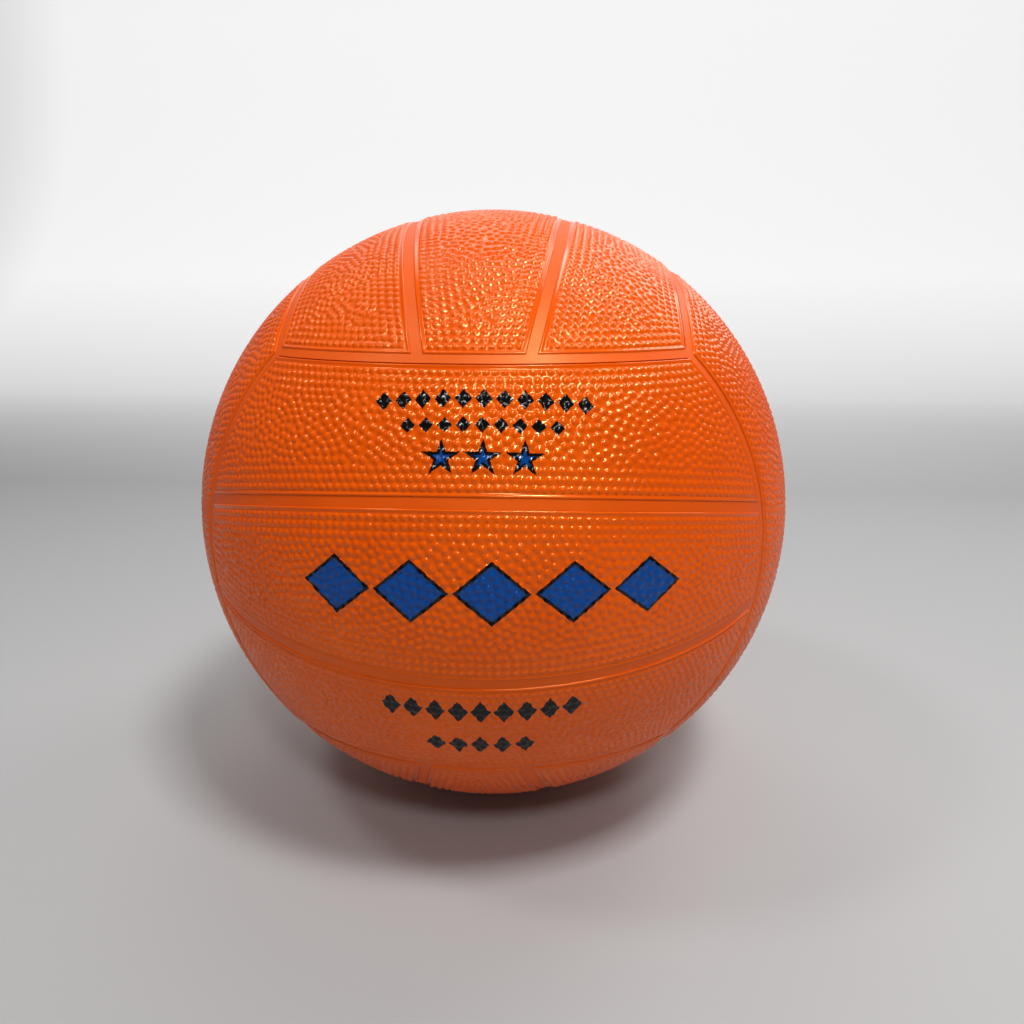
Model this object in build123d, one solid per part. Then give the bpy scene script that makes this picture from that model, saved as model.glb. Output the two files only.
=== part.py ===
from build123d import *
import math
import os

# Size 5 netball: eighteen moulded rubber panels bonded on a ridged carcass, over a nylon winding and a butyl
# bladder with a push-in plug valve. The origin is the ball's centre, the front face looks along -Y, +Z is up and
# the valve lies on +Y. Each of the six faces holds three strips. A face's long sides and its ends lie in planes
# that meet at the corners of a cube inside the ball, and its two inner seams are great circles.

# Driving dimensions, in millimetres and degrees
circumference = 700.0  # taped over the rib crests, the middle of the 690 to 710 that a size 5 ball may have
inner_seam_tilt = 14.0  # how far an inner seam's plane is tipped from its face's middle plane
seam_width = 3.3  # from one panel's edge to the next one's
rib_width = 0.7
rib_height = 0.45
panel_thickness = 0.9  # of the plain field, without the rib
ridge_depth = 0.05  # from a panel's field down to the top of the carcass's seam ridges
carcass_thickness = 0.6  # under the panels
winding_thickness = 0.3
bladder_thickness = 0.6
bond_gap = 0.05  # film of cement between bonded pieces

# Valve
needle_bore = 2.2
funnel_width = 3.6  # mouth that leads the needle in
funnel_depth = 0.8
plug_width = 7.0
plug_length = 14.0  # with its head
head_width = 9.4
head_thickness = 1.5
plug_clearance = 0.04  # running room all round the plug
neck_width = 12.6
face_recess = 0.2  # from the panels' field down to the valve's face, on the axis
flange_width = 32.0
flange_thickness = 1.0

# Radii worked out from the sizes above
outer_radius = circumference / (2 * math.pi)
field_radius = outer_radius - rib_height
panel_floor_radius = field_radius - panel_thickness
ridge_radius = field_radius - ridge_depth
carcass_floor_radius = panel_floor_radius - bond_gap
carcass_inner_radius = carcass_floor_radius - carcass_thickness
winding_radius = carcass_inner_radius - bond_gap
winding_inner_radius = winding_radius - winding_thickness
bladder_radius = winding_inner_radius - bond_gap
bladder_inner_radius = bladder_radius - bladder_thickness
flange_radius = bladder_inner_radius - bond_gap
valve_face = field_radius - face_recess
plug_end = valve_face - plug_length
boot_end = plug_end + head_thickness / 2
outer_seam_offset = outer_radius / math.sqrt(3)
outer_seam_share = math.sqrt(2 / 3)  # an outer seam's circle is this much smaller than a great circle
reach = outer_radius * 1.1

# Each face: the way its strips run, the way it looks, and its strips in order along the third axis
faces = {
    "front": ((1, 0, 0), (0, -1, 0), ("lower", "middle", "upper")),
    "back": ((-1, 0, 0), (0, 1, 0), ("lower", "middle", "upper")),
    "top": ((0, -1, 0), (0, 0, 1), ("left", "middle", "right")),
    "bottom": ((0, 1, 0), (0, 0, -1), ("left", "middle", "right")),
    "right": ((0, 0, -1), (1, 0, 0), ("front", "middle", "rear")),
    "left": ((0, 0, 1), (-1, 0, 0), ("front", "middle", "rear")),
}
valve_strip = ("back", "middle")


def ball(radius):
    """Ball about the origin, with its poles and its seam line off the face that looks along +Z."""
    return Plane((0, 0, 0), x_dir=(0, 0, -1), z_dir=(0, 1, 0)) * Sphere(radius)


def shell(outer, inner):
    """Hollow ball between two radii."""
    return ball(outer) - ball(inner)


def upright_bar(width, low, high):
    """Round bar on +Z between two heights."""
    return Pos(0, 0, low) * Cylinder(width / 2, high - low, align=(Align.CENTER, Align.CENTER, Align.MIN))


def strip_bar(is_middle, inset):
    """Bar along X whose sides are the seams round one strip of the face on +Z, drawn in from them by inset."""
    tilt = math.radians(inner_seam_tilt)
    low = outer_seam_offset + inset * outer_seam_share
    side = outer_seam_offset - inset * outer_seam_share

    def inner_side(height, way):
        return height * math.tan(tilt) + way * inset / math.cos(tilt)

    if is_middle:
        near = inner_side(low, -1)
        far = inner_side(reach, -1)
        corners = [(-near, low), (near, low), (far, reach), (-far, reach)]
    else:
        corners = [(inner_side(low, 1), low), (side, low), (side, reach), (inner_side(reach, 1), reach)]
    return extrude(make_face(Plane.YZ * Polyline(*corners, close=True)), amount=reach, both=True)


def face_strips():
    """Yields each strip's face and place, whether it is a middle one, and where it goes from the face on +Z."""
    for face, (along, normal, places) in faces.items():
        seat = Plane((0, 0, 0), x_dir=along, z_dir=normal).location
        for place, turn in zip(places, (180, 0, 0)):
            yield face, place, place == "middle", seat * Rot(0, 0, turn)


def panel(is_middle):
    """Cover panel on +Z: a plain field with a rib round its edge."""
    edge = strip_bar(is_middle, seam_width / 2)
    field = strip_bar(is_middle, seam_width / 2 + rib_width)
    slab = edge & shell(outer_radius, panel_floor_radius)
    return slab - (field - ball(field_radius))


def valve_hole():
    """Way for the valve's neck through the layers on +Z."""
    return upright_bar(neck_width + 2 * bond_gap, bladder_inner_radius / 2, reach)


def carcass():
    """Hollow rubber body with a pocket for each panel, which leaves ridges along the seams."""
    body = shell(ridge_radius, carcass_inner_radius)
    for face, place, is_middle, seat in face_strips():
        pocket = strip_bar(is_middle, seam_width / 2 - bond_gap) - ball(carcass_floor_radius)
        body -= seat * pocket
    return body


def valve_boot():
    """Neck with a flange that is bonded to the bladder's inside, bored for the plug."""
    neck = upright_bar(neck_width, boot_end, valve_face)
    flange = upright_bar(flange_width, 0, reach) & shell(flange_radius, flange_radius - flange_thickness)
    bore = upright_bar(plug_width + 2 * plug_clearance, 0, valve_face)
    seat = upright_bar(head_width + 2 * plug_clearance, valve_face - head_thickness, valve_face)
    return neck + flange - bore - seat


def valve_plug():
    """Headed plug with a passage for the inflating needle."""
    stem = upright_bar(plug_width, plug_end, valve_face)
    head = upright_bar(head_width, valve_face - head_thickness, valve_face)
    passage = upright_bar(needle_bore, plug_end, valve_face)
    funnel = Pos(0, 0, valve_face) * Cone(
        needle_bore / 2,
        funnel_width / 2,
        funnel_depth,
        align=(Align.CENTER, Align.CENTER, Align.MAX),
    )
    return stem + head - passage - funnel


def all_nodes():
    """Yields every piece by name, in its place."""
    panels = {is_middle: panel(is_middle) for is_middle in (True, False)}
    seats = {(face, place): (is_middle, seat) for face, place, is_middle, seat in face_strips()}
    valve_seat = seats[valve_strip][1]
    hole = valve_seat * valve_hole()
    for (face, place), (is_middle, seat) in seats.items():
        piece = seat * panels[is_middle]
        if (face, place) == valve_strip:
            piece = piece - hole
        yield f"{face}_{place}_panel", piece
    yield "carcass", carcass() - hole
    yield "nylon_winding", shell(winding_radius, winding_inner_radius) - hole
    yield "bladder", shell(bladder_radius, bladder_inner_radius) - hole
    yield "valve_boot", valve_seat * valve_boot()
    yield "valve_plug", valve_seat * valve_plug()


os.makedirs("parts", exist_ok=True)
for name, piece in all_nodes():
    export_step(piece, f"parts/{name}.step")
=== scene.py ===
import math

import bpy
import numpy as np
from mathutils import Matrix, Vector
from mathutils.geometry import delaunay_2d_cdt


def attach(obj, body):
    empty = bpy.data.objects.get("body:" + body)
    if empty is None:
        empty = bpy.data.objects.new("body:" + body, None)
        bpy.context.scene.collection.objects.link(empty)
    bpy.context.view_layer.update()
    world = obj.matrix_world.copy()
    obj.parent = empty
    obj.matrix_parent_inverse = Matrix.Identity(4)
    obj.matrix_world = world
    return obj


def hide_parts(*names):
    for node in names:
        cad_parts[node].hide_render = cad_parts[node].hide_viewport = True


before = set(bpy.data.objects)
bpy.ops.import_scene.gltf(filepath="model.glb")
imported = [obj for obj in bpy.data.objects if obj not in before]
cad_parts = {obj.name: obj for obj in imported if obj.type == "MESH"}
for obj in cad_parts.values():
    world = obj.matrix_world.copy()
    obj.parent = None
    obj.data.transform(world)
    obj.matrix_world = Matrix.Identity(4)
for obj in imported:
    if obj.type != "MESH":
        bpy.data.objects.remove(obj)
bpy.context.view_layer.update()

# Netball: eighteen pebbled rubber panels with smooth seams between them. The front looks along -Y.
# Each panel is worked out on the face that looks along +Z, on a ball of radius 1, and then set in its place.

# Sizes of the ball, in millimetres and degrees
circumference = 700.0
inner_seam_tilt = 14.0
seam_width = 3.3
rib_height = 0.45  # of the solid's sharp ribs, over which the ball is taped
panel_thickness = 0.9
outer_radius = circumference / (2 * math.pi)
field_radius = outer_radius - rib_height
outer_seam_sine = 1 / math.sqrt(3)
panel_edge = seam_width / 2  # from the middle of a seam
rib_profile = (  # how far in from a panel's edge, and how high above its field
    (0.0, -panel_thickness),
    (0.0, 0.0),
    (0.1, 0.14),
    (0.25, 0.28),
    (0.42, 0.33),
    (0.6, 0.3),
    (0.8, 0.2),
    (1.05, 0.08),
    (1.35, 0.02),
    (1.6, 0.0),
)
field_inset = rib_profile[-1][0]

# Pebbles
pebble_pitch = 2.6
pebble_height = 0.62
pebble_power = 2.2  # how square the pebbles' shoulders are
pebble_share = 0.49  # a pebble's radius, as a share of the distance to its nearest neighbours
nearest_few = 3  # neighbours that this distance is taken from
first_row = 2.4  # from a panel's edge to the middle of its first row of pebbles
edge_rows = 3  # rows that keep to the panel's edge, before the pebbles pack freely
last_row = panel_edge + first_row + pebble_pitch * (edge_rows - 1)
row_shake = 0.07  # how much looser each of those rows is than the one outside it
pebble_seed = 5
try_pitch = pebble_pitch / 5  # between the places that are tried for the free pebbles
packing_spread = 3.0  # how far out of their order, from the edge inwards, the free pebbles are packed
least_gap = 0.87  # share of the pitch that a free pebble keeps from those before it
packing_rounds = 25
evened_gap = 1.08  # share of the pitch up to which crowded pebbles push each other apart
evening_step = 0.22  # share of that push that is taken in one round
neighbour_count = 8

# Valve hole in the middle panel of the back
hole_radius = 6.35
hole_margin = 0.9  # from the hole to the pebbles round it
hole_lip = 0.25  # bevel of the hole's edge
hole_row = hole_radius + hole_margin + pebble_pitch / 2

# Fineness of the meshes
long_steps = 260  # points along a panel's long side
end_steps = 80  # and along its end
hole_steps = 90
length_steps = 50  # for measuring the length of a seam
pebble_rings = ((0.45, 6), (0.8, 10))  # share of a pebble's radius, and points round it
ring_turn = 2.4  # how far each pebble's rings are turned on from those of the one before, in radians
field_margin = 0.15  # least distance of a field's free points from its loops
floor_spacing = 5.0  # between the points of a panel's underside
floor_margin = 1.0
face_reach = 125.0  # half the side of the flat map that holds one face
merge_distance = 1e-5
same_digits = 7  # to which two points have to agree to count as one
height_batches = 16

# Print on the front panels: arcs along and up the front face from its middle, in millimetres
star_places = (3.6, 11.5, 3)  # middle, pitch and number of the marks in a row
star_height = 39.7
star_radius = 5.6
star_border = 0.92
badge_row = ((6.5, 23.0, 5), 2.0, 11.0, 9.5)  # places, height, and half the width and height of one lozenge
badge_border = 1.0
mark_rows = (
    ((3.5, 5.7, 11), 56.6, 2.4, 2.9),
    ((3.2, 5.2, 9), 49.0, 2.1, 2.3),
    ((2.8, 6.8, 9), -38.0, 3.0, 4.4),
    ((2.2, 6.8, 5), -53.6, 3.0, 4.2),
)
ink_black = (0.002, 0.002, 0.002, 1)
ink_blue = (0.001, 0.055, 0.27, 1)
ink_stray = 0.12  # how far the edges of the print stray

# Base colours of the rubbers and the thread, each from its darkest to its lightest
cover_colours = ((0.75, 0.081, 0.0, 1), (0.84, 0.1, 0.0, 1))
seam_colours = ((0.74, 0.077, 0.0, 1), (0.83, 0.095, 0.0, 1))
boot_colours = ((0.7, 0.09, 0.002, 1), (0.8, 0.12, 0.003, 1))
black_colours = ((0.01, 0.01, 0.011, 1), (0.026, 0.026, 0.028, 1))
thread_colours = ((0.6, 0.58, 0.52, 1), (0.75, 0.73, 0.68, 1))

# Finishes: colours, least and most roughness, and strength of the grain
cover_finish = (cover_colours, (0.13, 0.2), 0.25)
seam_finish = (seam_colours, (0.42, 0.54), 0.5)
boot_finish = (boot_colours, (0.35, 0.5), 0.4)
plug_finish = (black_colours, (0.4, 0.55), 0.6)
butyl_finish = (black_colours, (0.4, 0.6), 0.5)
thread_finish = (thread_colours, (0.5, 0.7), 1.0)
grain_height = 0.00005  # in metres

# Gloss of the orange rubber, which is warmer than that of the ink and of the other pieces
white = (1, 1, 1, 1)
rubber_gloss = 0.55
rubber_tint = (1, 0.88, 0.36, 1)
ink_gloss = 0.3
plain_tint = white

# Noises: patches per metre and detail, and the range that most of a noise's values lie in
colour_noise = (28, 4)
gloss_noise = (60, 5)
grain_noise = (1800, 3)
ink_noise = (900, 2)
noise_range = (0.3, 0.7)

# Floor, which sweeps up behind the ball
floor_front = -6000.0
floor_side = 9000.0
floor_top = 4000.0
floor_depth = 1200.0  # from the ball to where the floor begins to sweep up
floor_bend = 900.0
bend_steps = 31
floor_colour = (0.45, 0.45, 0.45, 1)
floor_roughness = 0.9
glow_behind = (0.0, 0.75, 0.5, 1.8)  # glow before and after it grows, and both distances in metres
glow_aside = (1.0, 0.11, 1.3, 2.2)  # share of it before and after it fades, and both distances in metres

# Lights: place and side of each square light in metres, and its power in watts
world_strength = 0.13
lights = {
    "key": ((0.28, -0.42, 1.0), 0.22, 8),
    "left": ((-0.5, -0.2, 0.9), 0.16, 1.8),
    "right": ((0.55, 0.43, 0.72), 0.4, 2.4),
    "front": ((0.15, -0.9, 0.8), 0.16, 3),
    "back": ((-0.1, 0.45, 0.9), 0.4, 0.9),
}

# Camera, whose angles are in degrees and whose distance and lens are in millimetres
camera_azimuth = 3.593
camera_elevation = 14.326
camera_distance = 335.0
camera_lens = 29.09
camera_sensor = 36
camera_shift = (0.0180, -0.0102)
camera_near = 0.01  # in metres

# Each face: the way its strips run, the way it looks, and its strips in order along the third axis
faces = {
    "front": ((1, 0, 0), (0, -1, 0), ("lower", "middle", "upper")),
    "back": ((-1, 0, 0), (0, 1, 0), ("lower", "middle", "upper")),
    "top": ((0, -1, 0), (0, 0, 1), ("left", "middle", "right")),
    "bottom": ((0, 1, 0), (0, 0, -1), ("left", "middle", "right")),
    "right": ((0, 0, -1), (1, 0, 0), ("front", "middle", "rear")),
    "left": ((0, 0, 1), (-1, 0, 0), ("front", "middle", "rear")),
}
strip_turns = (-1, 1, 1)  # the first strip is the last one turned half round
metre = 1000.0


def unit(points):
    """Points drawn to the ball of radius 1."""
    return points / np.linalg.norm(points, axis=-1, keepdims=True)


def flat(points):
    """Flat map of the ball of radius 1, seen from +Z, in millimetres at its middle."""
    return 2 * outer_radius * points[:, :2] / (1 + points[:, 2:])


def unflat(places):
    """The points on the ball of radius 1 that flat maps to these places."""
    places = places / (2 * outer_radius)
    square = (places**2).sum(axis=1, keepdims=True)
    return np.hstack([2 * places, 1 - square]) / (1 + square)


def strip_sides(is_middle):
    """Planes of the seams round one strip: low side, ends and high side, each a normal and its distance."""
    tilt = math.radians(inner_seam_tilt)
    across = math.cos(tilt)
    rise = math.sin(tilt)
    ends = (np.array([0, 0, 1.0]), outer_seam_sine)
    if is_middle:
        return (np.array([0, across, rise]), 0.0), ends, (np.array([0, -across, rise]), 0.0)
    return (np.array([0, across, -rise]), 0.0), ends, (np.array([0, -1.0, 0]), -outer_seam_sine)


def drawn_in(side, inset):
    """A seam's plane moved into its strip by an arc on the ball."""
    normal, sine = side
    return normal, math.sin(math.asin(sine) + inset / outer_radius)


def corner(side, end, way):
    """Where a long side meets an end of the strip, on -X or +X."""
    (_, side_y, side_z), side_sine = side
    (_, end_y, end_z), end_sine = end
    y, z = np.linalg.solve([[side_y, side_z], [end_y, end_z]], [side_sine, end_sine])
    return np.array([way * math.sqrt(1 - y * y - z * z), y, z])


def arc(start, end, side, steps):
    """Even points along a seam's circle, without the last one."""
    normal, sine = side
    middle = normal * sine
    ahead = start - middle
    beside = np.cross(normal, ahead)
    turn = math.atan2((end - middle) @ beside, (end - middle) @ ahead)
    angles = np.linspace(0, turn, steps, endpoint=False)[:, None]
    return middle + ahead * np.cos(angles) + beside * np.sin(angles)


def arc_length(start, end, side):
    """Length of a seam's arc on the ball of radius 1."""
    steps = np.diff(arc(start, end, side, length_steps), axis=0)
    return np.linalg.norm(steps, axis=1).sum() * length_steps / (length_steps - 1)


def strip_runs(is_middle, inset):
    """The four sides of one strip, drawn in from the middle of its seams: start, end and plane."""
    low, ends, high = [drawn_in(side, inset) for side in strip_sides(is_middle)]
    corners = [corner(low, ends, -1), corner(low, ends, 1), corner(high, ends, 1), corner(high, ends, -1)]
    return zip(corners, corners[1:] + corners[:1], (low, ends, high, ends))


def strip_loop(is_middle, inset):
    """Closed loop round one strip, with the same number of points at every inset."""
    steps = (long_steps, end_steps, long_steps, end_steps)
    return np.concatenate([arc(*run, count) for run, count in zip(strip_runs(is_middle, inset), steps)])


def round_loop(radius, steps):
    """Circle about +Z, given its radius in millimetres."""
    angles = np.linspace(0, 2 * math.pi, steps, endpoint=False)
    across = radius / outer_radius
    height = np.full(steps, math.sqrt(1 - across**2))
    return np.column_stack([across * np.cos(angles), across * np.sin(angles), height])


def inset_of(points, is_middle):
    """Arc in millimetres from each point to the middle of the nearest seam."""
    arcs = [np.arcsin(points @ normal) - math.asin(sine) for normal, sine in strip_sides(is_middle)]
    return outer_radius * np.min(arcs, axis=0)


def from_axis(points):
    """Distance in millimetres from +Z."""
    return outer_radius * np.linalg.norm(points[:, :2], axis=1)


def grid(spacing):
    """Even points over the whole face."""
    steps = np.arange(-face_reach, face_reach, spacing)
    return unflat(np.stack(np.meshgrid(steps, steps), axis=-1).reshape(-1, 2))


def pebble_row(is_middle, inset):
    """Pebbles in a row round one strip, with one at every corner."""
    pitch = pebble_pitch / outer_radius
    runs = strip_runs(is_middle, inset)
    return np.concatenate([arc(*run, round(arc_length(*run) / pitch)) for run in runs])


def edge_pebbles(is_middle, has_hole, chance):
    """Middles of the pebbles in rows, along the panel's edge and round the hole; inner rows are looser."""
    rows = []
    for row in range(edge_rows):
        places = pebble_row(is_middle, panel_edge + first_row + pebble_pitch * row)
        rows.append(unit(places + row * row_shake / outer_radius * chance.standard_normal(places.shape)))
    if has_hole:
        rows.append(round_loop(hole_row, round(2 * math.pi * hole_row / pebble_pitch)))
    return np.concatenate(rows)


def pebble_centres(is_middle, has_hole):
    """Middles of a panel's pebbles: the rows, and free ones packed inwards from them and then evened out."""
    chance = np.random.default_rng(pebble_seed)
    rows = edge_pebbles(is_middle, has_hole, chance)
    places = grid(try_pitch)
    insets = inset_of(places, is_middle)
    inside = insets > last_row + pebble_pitch / 2
    if has_hole:
        inside &= from_axis(places) > hole_row + pebble_pitch / 2
    insets = insets[inside] + packing_spread * chance.random(inside.sum())
    places = places[inside][np.argsort(insets, kind="stable")]
    centres = np.vstack([rows, np.zeros_like(places)])
    count = len(rows)
    nearest = math.cos(least_gap * pebble_pitch / outer_radius)
    for place in places:
        if (centres[:count] @ place).max() < nearest:
            centres[count] = place
            count += 1
    return evened(centres[:count], len(rows))


def evened(centres, fixed):
    """Centres pushed apart where they crowd each other; the first ones stay."""
    reach = evened_gap * pebble_pitch / outer_radius
    for _ in range(packing_rounds):
        closeness = centres @ centres.T
        neighbours = np.argpartition(-closeness, neighbour_count, axis=1)[:, : neighbour_count + 1]
        gaps = centres[:, None] - centres[neighbours]
        lengths = np.linalg.norm(gaps, axis=2)
        push = np.clip(reach - lengths, 0, None) / np.maximum(lengths, 1e-9)
        moves = evening_step * (gaps * push[..., None]).sum(axis=1)
        moves[:fixed] = 0
        centres = unit(centres + moves)
    return centres


def pebble_radii(centres):
    """Nearly half the usual distance to the pebbles round each one, on the ball of radius 1."""
    nearest = np.sort(2 - 2 * centres @ centres.T, axis=1)[:, 1 : nearest_few + 1]
    return pebble_share * np.sqrt(np.clip(nearest, 0, None)).mean(axis=1)


def ring(centres, radii, share, count):
    """Points round every pebble at a share of its radius."""
    first = unit(np.cross(centres, [0.0, 1.0, 0.0]))
    second = np.cross(centres, first)
    starts = ring_turn * np.arange(len(centres))
    points = []
    for step in range(count):
        angles = (starts + 2 * math.pi * step / count)[:, None]
        points.append(centres + share * radii[:, None] * (first * np.cos(angles) + second * np.sin(angles)))
    return unit(np.concatenate(points))


def triangulated(points, lines, kind):
    """Triangles over the flat map of the points, as indices; kind 1 fills only what lines enclose."""
    places = [Vector(place) for place in flat(points)]
    _, _, made, sources, _, _ = delaunay_2d_cdt(places, lines, [], kind, merge_distance)
    return np.array([[sources[vertex][0] for vertex in face] for face in made])


def valley_points(centres):
    """Middles of the lines and of the triangles between neighbouring pebbles."""
    threes = centres[triangulated(centres, [], 0)]
    triangles = threes.mean(axis=1)
    lines = np.concatenate([(threes[:, one] + threes[:, one - 1]) / 2 for one in range(3)])
    lines = np.unique(np.round(lines, same_digits), axis=0)
    return unit(np.vstack([triangles, lines]))


def pebble_heights(points, centres, radii):
    """How far the pebbles lift each point above the field."""
    heights = []
    for some in np.array_split(points, height_batches):
        lengths = np.sqrt(np.clip(2 - 2 * some @ centres.T, 0, None)) / radii
        heights.append(np.clip(1 - lengths.min(axis=1) ** pebble_power, 0, None))
    return pebble_height * np.concatenate(heights)


def filled(loops, points):
    """Triangles that fill the first loop but not the others, as indices into the loops and the points."""
    lines = []
    start = 0
    for loop in loops:
        here = list(range(start, start + len(loop)))
        lines += zip(here, here[1:] + here[:1])
        start += len(loop)
    triangles = triangulated(np.vstack([*loops, points]), lines, 1)
    in_hole = (triangles >= len(loops[0])) & (triangles < start)
    return triangles[~in_hole.all(axis=1)]


def band(outer_start, inner_start, count):
    """Triangles between two loops with the same number of points."""
    here = np.arange(count)
    there = np.roll(here, -1)
    return np.vstack([
        np.column_stack([outer_start + here, outer_start + there, inner_start + there]),
        np.column_stack([outer_start + here, inner_start + there, inner_start + here]),
    ])


def clear_points(points, is_middle, has_hole, inset, radius):
    """Which points are further in than inset and, where there is a hole, further from +Z than radius."""
    clear = inset_of(points, is_middle) > inset
    if has_hole:
        clear &= from_axis(points) > radius
    return clear


def field_points(is_middle, has_hole):
    """Free points of a panel's field, on the ball of radius 1, and how far the pebbles lift them."""
    centres = pebble_centres(is_middle, has_hole)
    radii = pebble_radii(centres)
    rings = [ring(centres, radii, *one) for one in pebble_rings]
    points = np.vstack([centres, *rings, valley_points(centres)])
    inset = panel_edge + field_inset + field_margin
    points = points[clear_points(points, is_middle, has_hole, inset, hole_radius + hole_lip + field_margin)]
    return points, pebble_heights(points, centres, radii)


def underside_points(is_middle, has_hole):
    """Free points of a panel's underside, on the ball of radius 1."""
    points = grid(floor_spacing)
    inset = panel_edge + floor_margin
    return points[clear_points(points, is_middle, has_hole, inset, hole_radius + floor_margin)]


def point_count(blocks):
    """Number of points in all the blocks."""
    return sum(len(block) for block in blocks)


def panel_mesh(is_middle, has_hole):
    """One closed panel on +Z in millimetres: its points and triangles."""
    rib_loops = [strip_loop(is_middle, panel_edge + inset) for inset, _ in rib_profile]
    vertices = [loop * (field_radius + height) for loop, (_, height) in zip(rib_loops, rib_profile)]
    count = len(rib_loops[0])
    triangles = [band(row * count, (row + 1) * count, count) for row in range(len(rib_loops) - 1)]
    field_loops = [rib_loops[-1]]
    floor_loops = [strip_loop(is_middle, panel_edge)]
    if has_hole:
        field_loops.append(round_loop(hole_radius + hole_lip, hole_steps))
        floor_loops.append(round_loop(hole_radius, hole_steps))
    lip_start = point_count(vertices)
    points, heights = field_points(is_middle, has_hole)
    triangles.append(filled(field_loops, points) + lip_start - count)
    vertices += [loop * field_radius for loop in field_loops[1:]]
    vertices.append(points * (field_radius + heights[:, None]))
    for wall in floor_loops[1:]:
        for depth in (hole_lip, panel_thickness):
            wall_start = point_count(vertices)
            vertices.append(wall * (field_radius - depth))
            triangles.append(band(lip_start, wall_start, hole_steps))
            lip_start = wall_start
    points = underside_points(is_middle, has_hole)
    triangles.append(filled(floor_loops, points)[:, ::-1] + point_count(vertices))
    vertices.append(np.vstack([*floor_loops, points]) * (field_radius - panel_thickness))
    return np.vstack(vertices), np.vstack(triangles)


def add_mesh(name, vertices, triangles, material):
    """Smooth mesh object from points in millimetres."""
    mesh = bpy.data.meshes.new(name)
    mesh.from_pydata((vertices / metre).tolist(), [], triangles.tolist())
    mesh.shade_smooth()
    mesh.materials.append(material)
    piece = bpy.data.objects.new(name, mesh)
    bpy.context.scene.collection.objects.link(piece)
    return piece


def add_panels(cover, printed):
    """Sets the panels in their places."""
    kinds = ((True, False), (False, False), (True, True))  # whether it is a middle one, and has the hole
    shapes = {kind: panel_mesh(*kind) for kind in kinds}
    for face, (along, normal, places) in faces.items():
        beside = np.cross(normal, along)
        material = printed if face == "front" else cover
        for place, turn in zip(places, strip_turns):
            is_middle = place == "middle"
            vertices, triangles = shapes[is_middle, is_middle and face == "back"]
            seat = np.array([turn * np.array(along), turn * beside, normal])
            node = f"{face}_{place}_panel"
            piece = add_mesh(node + "_skin", vertices @ seat, triangles, material)
            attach(piece, "ball")
            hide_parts(node)


def calc(tree, operation, *values):
    """Maths node with numbers or other nodes' outputs as its values."""
    node = tree.nodes.new("ShaderNodeMath")
    node.operation = operation
    for socket, value in zip(node.inputs, values):
        if isinstance(value, (int, float)):
            socket.default_value = value
        else:
            tree.links.new(value, socket)
    return node.outputs[0]


def axes(tree):
    """X, Y and Z of the shaded place, in metres and fixed to the object."""
    place = tree.nodes.new("ShaderNodeTexCoord")
    split = tree.nodes.new("ShaderNodeSeparateXYZ")
    tree.links.new(place.outputs["Object"], split.inputs["Vector"])
    return split.outputs


def noise(tree, scale, detail):
    """Noise fixed to the object, with scale in patches per metre."""
    place = tree.nodes.new("ShaderNodeTexCoord")
    node = tree.nodes.new("ShaderNodeTexNoise")
    node.inputs["Scale"].default_value = scale
    node.inputs["Detail"].default_value = detail
    tree.links.new(place.outputs["Object"], node.inputs["Vector"])
    return node.outputs["Fac"]


def ramp(tree, value, low, high, first, last):
    """Colour that runs from first to last while value runs from low to high."""
    node = tree.nodes.new("ShaderNodeValToRGB")
    node.color_ramp.elements[0].position = low
    node.color_ramp.elements[0].color = first
    node.color_ramp.elements[1].position = high
    node.color_ramp.elements[1].color = last
    tree.links.new(value, node.inputs["Fac"])
    return node.outputs["Color"]


def spread(tree, value, low, high, start, end):
    """Number that runs from low to high while value runs from start to end."""
    node = tree.nodes.new("ShaderNodeMapRange")
    for name, number in (("From Min", start), ("From Max", end), ("To Min", low), ("To Max", high)):
        node.inputs[name].default_value = number
    tree.links.new(value, node.inputs["Value"])
    return node.outputs["Result"]


def rubber(name, colours, roughness, grain, tint=rubber_tint):
    """Material with soft changes of colour and gloss and a fine grain; gives it and its base colour."""
    material = bpy.data.materials.new(name)
    material.use_nodes = True
    tree = material.node_tree
    shader = tree.nodes["Principled BSDF"]
    shader.inputs["Specular IOR Level"].default_value = rubber_gloss
    shader.inputs["Specular Tint"].default_value = tint
    colour = ramp(tree, noise(tree, *colour_noise), *noise_range, *colours)
    tree.links.new(colour, shader.inputs["Base Color"])
    rough = spread(tree, noise(tree, *gloss_noise), *roughness, *noise_range)
    tree.links.new(rough, shader.inputs["Roughness"])
    bump = tree.nodes.new("ShaderNodeBump")
    bump.inputs["Strength"].default_value = grain
    bump.inputs["Distance"].default_value = grain_height
    tree.links.new(noise(tree, *grain_noise), bump.inputs["Height"])
    tree.links.new(bump.outputs["Normal"], shader.inputs["Normal"])
    return material, colour


def along_row(tree, along, middle, pitch, count):
    """Distance along from the nearest of an odd number of marks in a row."""
    step = calc(tree, "DIVIDE", calc(tree, "SUBTRACT", along, middle), pitch)
    last = (count - 1) / 2
    near = calc(tree, "MINIMUM", calc(tree, "MAXIMUM", calc(tree, "ROUND", step), -last), last)
    return calc(tree, "MULTIPLY", calc(tree, "SUBTRACT", step, near), pitch)


def star_row(tree, along, up):
    """How far outside the row of stars a place is, in millimetres."""
    side = along_row(tree, along, *star_places)
    rise = calc(tree, "SUBTRACT", up, star_height)
    square = calc(tree, "ADD", calc(tree, "POWER", side, 2), calc(tree, "POWER", rise, 2))
    reach = calc(tree, "SQRT", square)
    fifth = 2 * math.pi / 5
    angle = calc(tree, "PINGPONG", calc(tree, "ARCTAN2", side, rise), fifth / 2)
    lean = calc(tree, "COSINE", calc(tree, "SUBTRACT", angle, fifth))
    return calc(tree, "SUBTRACT", calc(tree, "MULTIPLY", reach, lean), star_radius * math.cos(fifth))


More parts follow.
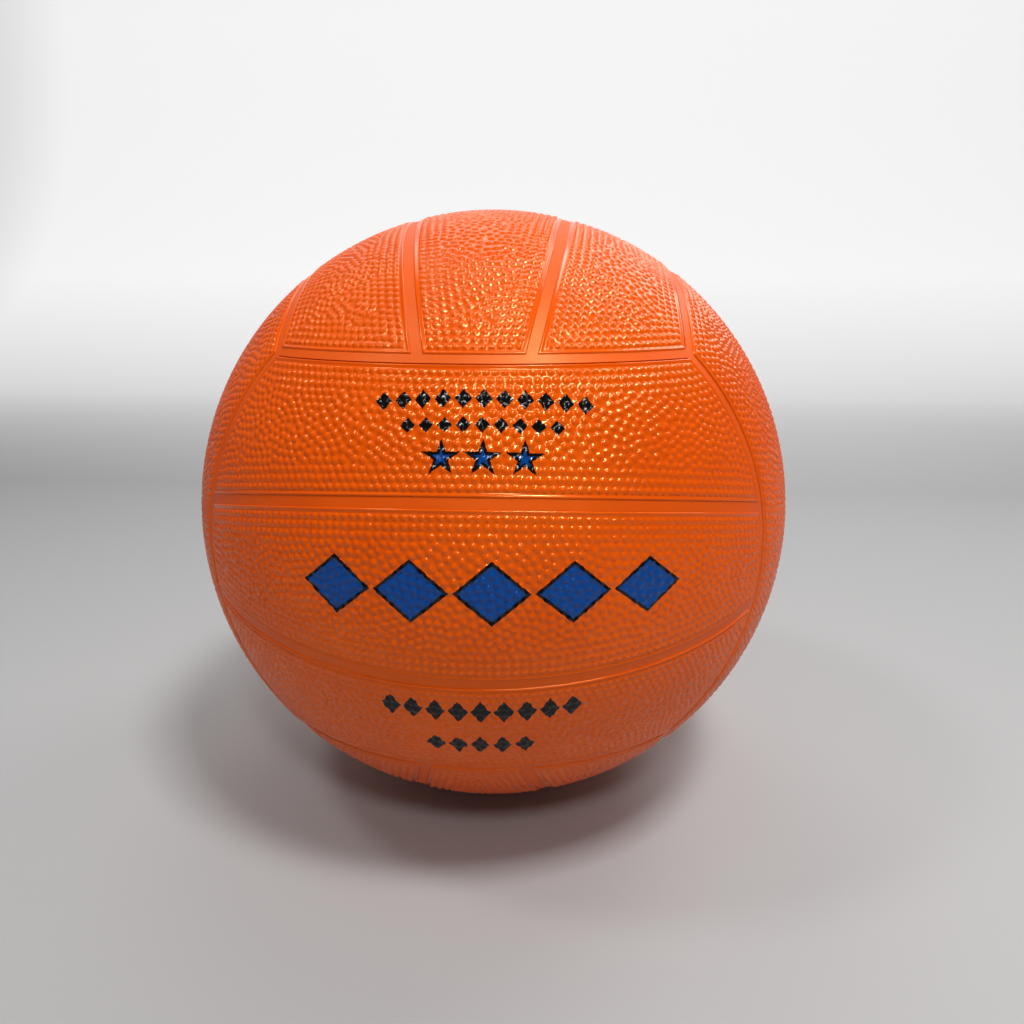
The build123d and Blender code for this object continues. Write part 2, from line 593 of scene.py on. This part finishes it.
def lozenge_row(tree, along, up, places, height, half_width, half_height):
    """How far outside a row of lozenges a place is, in millimetres."""
    side = calc(tree, "ABSOLUTE", along_row(tree, along, *places))
    rise = calc(tree, "ABSOLUTE", calc(tree, "SUBTRACT", up, height))
    run = calc(tree, "ADD", calc(tree, "DIVIDE", side, half_width), calc(tree, "DIVIDE", rise, half_height))
    thickness = half_width * half_height / math.hypot(half_width, half_height)
    return calc(tree, "MULTIPLY", calc(tree, "SUBTRACT", run, 1.0), thickness)


def print_masks(tree):
    """1 where the print covers the rubber, and 1 where it is blue."""
    x, y, z = axes(tree)
    lean = calc(tree, "ARCSINE", calc(tree, "DIVIDE", x, outer_radius / metre))
    turn = calc(tree, "ARCTAN2", z, calc(tree, "MULTIPLY", y, -1.0))
    along = calc(tree, "MULTIPLY", lean, outer_radius)
    up = calc(tree, "MULTIPLY", turn, outer_radius)
    stars = star_row(tree, along, up)
    badges = lozenge_row(tree, along, up, *badge_row)
    inked = calc(tree, "MINIMUM", stars, badges)
    for row in mark_rows:
        inked = calc(tree, "MINIMUM", inked, lozenge_row(tree, along, up, *row))
    blue_star = calc(tree, "ADD", stars, star_border)
    blue_badge = calc(tree, "ADD", badges, badge_border)
    blue = calc(tree, "MINIMUM", blue_star, blue_badge)
    ragged = spread(tree, noise(tree, *ink_noise), -ink_stray, ink_stray, *noise_range)
    return [calc(tree, "LESS_THAN", calc(tree, "ADD", outside, ragged), 0.0) for outside in (inked, blue)]


def painted(tree, below, mask, ink):
    """Colour below with ink over it where mask is 1."""
    node = tree.nodes.new("ShaderNodeMix")
    node.data_type = "RGBA"
    tree.links.new(mask, node.inputs["Factor"])
    tree.links.new(below, node.inputs["A"])
    node.inputs["B"].default_value = ink
    return node.outputs["Result"]


def printed_rubber(name):
    """Cover rubber with a row of stars, a row of lozenges and rows of small marks printed on it."""
    material, colour = rubber(name, *cover_finish)
    tree = material.node_tree
    shader = tree.nodes["Principled BSDF"]
    under_ink, under_blue = print_masks(tree)
    colour = painted(tree, painted(tree, colour, under_ink, ink_black), under_blue, ink_blue)
    gloss = spread(tree, under_ink, rubber_gloss, ink_gloss, 0, 1)
    tint = ramp(tree, under_ink, 0, 1, rubber_tint, plain_tint)
    tree.links.new(colour, shader.inputs["Base Color"])
    tree.links.new(gloss, shader.inputs["Specular IOR Level"])
    tree.links.new(tint, shader.inputs["Specular Tint"])
    return material


def finish_cad_nodes():
    """Finishes of the pieces that are shown as they come from the CAD model."""
    finishes = {
        "carcass": rubber("seam_rubber", *seam_finish),
        "nylon_winding": rubber("nylon_thread", *thread_finish, plain_tint),
        "bladder": rubber("butyl", *butyl_finish, plain_tint),
        "valve_boot": rubber("boot_rubber", *boot_finish),
        "valve_plug": rubber("plug_rubber", *plug_finish, plain_tint),
    }
    for node, (material, _) in finishes.items():
        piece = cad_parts[node]
        piece.data.materials.clear()
        piece.data.materials.append(material)


def floor_material():
    """Pale paint that glows behind the ball, but not far out to the sides."""
    material = bpy.data.materials.new("floor")
    material.use_nodes = True
    tree = material.node_tree
    shader = tree.nodes["Principled BSDF"]
    shader.inputs["Base Color"].default_value = floor_colour
    shader.inputs["Roughness"].default_value = floor_roughness
    shader.inputs["Emission Color"].default_value = white
    x, y, _ = axes(tree)
    behind = spread(tree, y, *glow_behind)
    aside = spread(tree, calc(tree, "ABSOLUTE", x), *glow_aside)
    tree.links.new(calc(tree, "MULTIPLY", behind, aside), shader.inputs["Emission Strength"])
    return material


def add_floor():
    """Floor that sweeps up behind the ball."""
    low = -outer_radius
    bend = np.radians(np.linspace(0, 90, bend_steps))
    back = floor_depth + floor_bend
    depths = np.concatenate([[floor_front], floor_depth + floor_bend * np.sin(bend), [back]])
    heights = np.concatenate([[low], low + floor_bend * (1 - np.cos(bend)), [floor_top]])
    count = len(depths)
    sides = [np.column_stack([np.full(count, side), depths, heights]) for side in (-floor_side, floor_side)]
    here = np.arange(count - 1)
    triangles = np.vstack([
        np.column_stack([here, here + count, here + count + 1]),
        np.column_stack([here, here + count + 1, here + 1]),
    ])
    add_mesh("floor", np.vstack(sides), triangles, floor_material())


def add_area(name, place, size, power):
    """Square soft light that looks at the ball."""
    data = bpy.data.lights.new(name, "AREA")
    data.size = size
    data.energy = power
    light = bpy.data.objects.new(name, data)
    light.location = place
    light.rotation_euler = (-Vector(place)).to_track_quat("-Z", "Y").to_euler()
    bpy.context.scene.collection.objects.link(light)


def add_lights():
    """Dim white world, and the square lights."""
    world = bpy.data.worlds.new("studio")
    world.use_nodes = True
    back = world.node_tree.nodes["Background"]
    back.inputs["Color"].default_value = white
    back.inputs["Strength"].default_value = world_strength
    bpy.context.scene.world = world
    for name, settings in lights.items():
        add_area(name, *settings)


def add_camera():
    """Camera in front of the ball, a little above it."""
    data = bpy.data.cameras.new("camera")
    data.lens = camera_lens
    data.sensor_width = camera_sensor
    data.shift_x, data.shift_y = camera_shift
    data.clip_start = camera_near
    azimuth = math.radians(camera_azimuth)
    elevation = math.radians(camera_elevation)
    back = Vector((
        math.sin(azimuth) * math.cos(elevation),
        -math.cos(azimuth) * math.cos(elevation),
        math.sin(elevation),
    ))
    camera = bpy.data.objects.new("camera", data)
    camera.location = back * camera_distance / metre
    camera.rotation_euler = (-back).to_track_quat("-Z", "Y").to_euler()
    bpy.context.scene.collection.objects.link(camera)
    bpy.context.scene.camera = camera


cover, _ = rubber("cover_rubber", *cover_finish)
add_panels(cover, printed_rubber("printed_rubber"))
finish_cad_nodes()
add_floor()
add_lights()
add_camera()
bpy.context.scene.view_settings.view_transform = "Standard"
